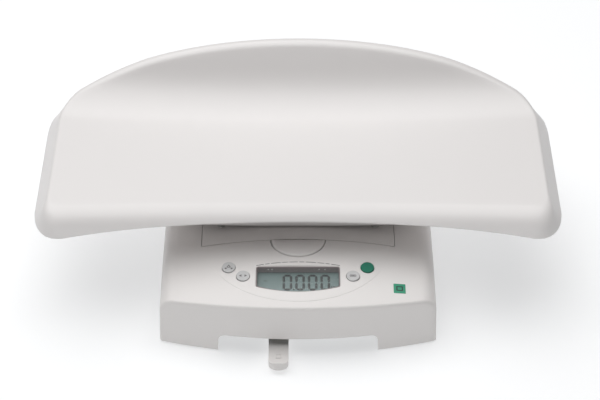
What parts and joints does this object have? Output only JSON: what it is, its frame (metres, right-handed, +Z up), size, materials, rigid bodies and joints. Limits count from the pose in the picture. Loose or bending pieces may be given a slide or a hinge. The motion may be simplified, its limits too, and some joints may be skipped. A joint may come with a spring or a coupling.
{
  "type": "animal weighing scale",
  "caption": "Table-top electronic scale with a wide curved lift-off tray on a low base with a sloping display panel, round keys and levelling feet.",
  "frame": {"origin": "on the table under the middle of the whole object's box", "axes": "+Z up, +X to the right of a person who reads the display, +Y away from that person; the display and the release tab are at -Y"},
  "size_m": [0.535, 0.3321, 0.1826],
  "materials": {
    "housing_white": "fine satin moulded plastic",
    "tray_white": "smooth satin-gloss moulded plastic",
    "key_grey": "satin",
    "key_green": "satin",
    "label_green": "printed foil",
    "lcd_surround": "matte dark",
    "lcd_panel": "smooth reflective display face",
    "clear_window": "clear polished plastic",
    "circuit_board": "solder mask",
    "silicone": "matte",
    "black_rubber": "matte",
    "black_plastic": "matte",
    "zinc_steel": "zinc plated",
    "milled_aluminium": "milled",
    "cast_aluminium": "as cast",
    "inner_grey": "matte moulded",
    "cell_sleeve": "printed foil sleeve"
  },
  "bodies": {
    "base": {"base_housing": "housing_white", "bottom_plate": "inner_grey", "lcd_window": "clear_window", "lcd_surround": "lcd_surround", "lcd_module": "lcd_panel", "display_board": "circuit_board", "key_mat": "silicone", "approval_label": "label_green", "lower_bracket": "zinc_steel", "lower_spacer": "zinc_steel", "load_cell": "milled_aluminium", "cell_bolt_lower_1": "zinc_steel", "cell_bolt_lower_2": "zinc_steel", "housing_screw_1": "zinc_steel", "housing_screw_2": "zinc_steel", "housing_screw_3": "zinc_steel", "housing_screw_4": "zinc_steel", "battery_box": "inner_grey", "battery_1": "cell_sleeve", "battery_2": "cell_sleeve", "battery_3": "cell_sleeve", "battery_4": "cell_sleeve", "contact_strip_front": "zinc_steel", "contact_strip_rear": "zinc_steel", "power_socket": "black_plastic", "level_vial": "clear_window", "lever_guide": "inner_grey", "lever_spring": "zinc_steel"},
    "platform": {"spider_bracket": "cast_aluminium", "upper_spacer": "zinc_steel", "load_plate": "housing_white", "plate_grip": "housing_white", "plate_screw_1": "zinc_steel", "plate_screw_2": "zinc_steel", "plate_screw_3": "zinc_steel", "plate_screw_4": "zinc_steel", "cell_bolt_upper_1": "zinc_steel", "cell_bolt_upper_2": "zinc_steel"},
    "tray": {"tray_shell": "tray_white", "tray_hull": "tray_white", "tray_tongue": "zinc_steel", "tray_pad_front_left": "black_rubber", "tray_pad_front_right": "black_rubber", "tray_pad_rear_left": "black_rubber", "tray_pad_rear_right": "black_rubber"},
    "lever": {"release_lever": "housing_white", "lever_catch": "zinc_steel"},
    "battery_cover": {"battery_door": "housing_white"},
    "key_outer_left": {"key_outer_left": "key_grey"},
    "key_inner_left": {"key_inner_left": "key_grey"},
    "key_inner_right": {"key_inner_right": "key_grey"},
    "key_outer_right": {"key_outer_right": "key_green"},
    "foot_front_left": {"foot_pad_front_left": "black_rubber"},
    "stud_front_left": {"foot_stud_front_left": "zinc_steel"},
    "foot_front_right": {"foot_pad_front_right": "black_rubber"},
    "stud_front_right": {"foot_stud_front_right": "zinc_steel"},
    "foot_rear_left": {"foot_pad_rear_left": "black_rubber"},
    "stud_rear_left": {"foot_stud_rear_left": "zinc_steel"},
    "foot_rear_right": {"foot_pad_rear_right": "black_rubber"},
    "stud_rear_right": {"foot_stud_rear_right": "zinc_steel"}
  },
  "joints": [
    {"name": "weighing_travel", "type": "slide", "parent": "base", "child": "platform", "axis": [0, 0, -1], "range_m": [0, 0.00025], "stiffness_N_per_m": 60000, "springref_m": -0.0008},
    {"name": "tray_lift_off", "type": "slide", "parent": "platform", "child": "tray", "axis": [0, 0, 1], "range_m": [0, 0.12]},
    {"name": "lever_pull", "type": "slide", "parent": "base", "child": "lever", "axis": [0, -1, 0], "range_m": [0, 0.008], "stiffness_N_per_m": 400, "springref_m": -0.004},
    {"name": "battery_door_slide", "type": "slide", "parent": "base", "child": "battery_cover", "axis": [1, 0, 0], "range_m": [0, 0.03]},
    {"name": "key_outer_left_press", "type": "slide", "parent": "base", "child": "key_outer_left", "axis": [0, 0.1308, -0.9914], "range_m": [0, 0.0008], "stiffness_N_per_m": 1200, "springref_m": -0.0004},
    {"name": "key_inner_left_press", "type": "slide", "parent": "base", "child": "key_inner_left", "axis": [0, 0.1308, -0.9914], "range_m": [0, 0.0008], "stiffness_N_per_m": 1200, "springref_m": -0.0004},
    {"name": "key_inner_right_press", "type": "slide", "parent": "base", "child": "key_inner_right", "axis": [0, 0.1308, -0.9914], "range_m": [0, 0.0008], "stiffness_N_per_m": 1200, "springref_m": -0.0004},
    {"name": "key_outer_right_press", "type": "slide", "parent": "base", "child": "key_outer_right", "axis": [0, 0.1308, -0.9914], "range_m": [0, 0.0008], "stiffness_N_per_m": 1200, "springref_m": -0.0004},
    {"name": "foot_front_left_extend", "type": "slide", "parent": "base", "child": "foot_front_left", "axis": [0, 0, -1], "range_m": [0, 0.008]},
    {"name": "foot_front_left_turn", "type": "hinge", "parent": "foot_front_left", "child": "stud_front_left", "pos_m": [-0.118, -0.09, 0.009], "axis": [0, 0, -1], "range_deg": [0, 2880]},
    {"name": "foot_front_right_extend", "type": "slide", "parent": "base", "child": "foot_front_right", "axis": [0, 0, -1], "range_m": [0, 0.008]},
    {"name": "foot_front_right_turn", "type": "hinge", "parent": "foot_front_right", "child": "stud_front_right", "pos_m": [0.118, -0.09, 0.009], "axis": [0, 0, -1], "range_deg": [0, 2880]},
    {"name": "foot_rear_left_extend", "type": "slide", "parent": "base", "child": "foot_rear_left", "axis": [0, 0, -1], "range_m": [0, 0.008]},
    {"name": "foot_rear_left_turn", "type": "hinge", "parent": "foot_rear_left", "child": "stud_rear_left", "pos_m": [-0.118, 0.132, 0.009], "axis": [0, 0, -1], "range_deg": [0, 2880]},
    {"name": "foot_rear_right_extend", "type": "slide", "parent": "base", "child": "foot_rear_right", "axis": [0, 0, -1], "range_m": [0, 0.008]},
    {"name": "foot_rear_right_turn", "type": "hinge", "parent": "foot_rear_right", "child": "stud_rear_right", "pos_m": [0.118, 0.132, 0.009], "axis": [0, 0, -1], "range_deg": [0, 2880]}
  ],
  "couplings": [
    {"joint": "foot_front_left_turn", "follows": "foot_front_left_extend", "rad_per_m": 6283},
    {"joint": "foot_front_right_turn", "follows": "foot_front_right_extend", "rad_per_m": 6283},
    {"joint": "foot_rear_left_turn", "follows": "foot_rear_left_extend", "rad_per_m": 6283},
    {"joint": "foot_rear_right_turn", "follows": "foot_rear_right_extend", "rad_per_m": 6283}
  ]
}
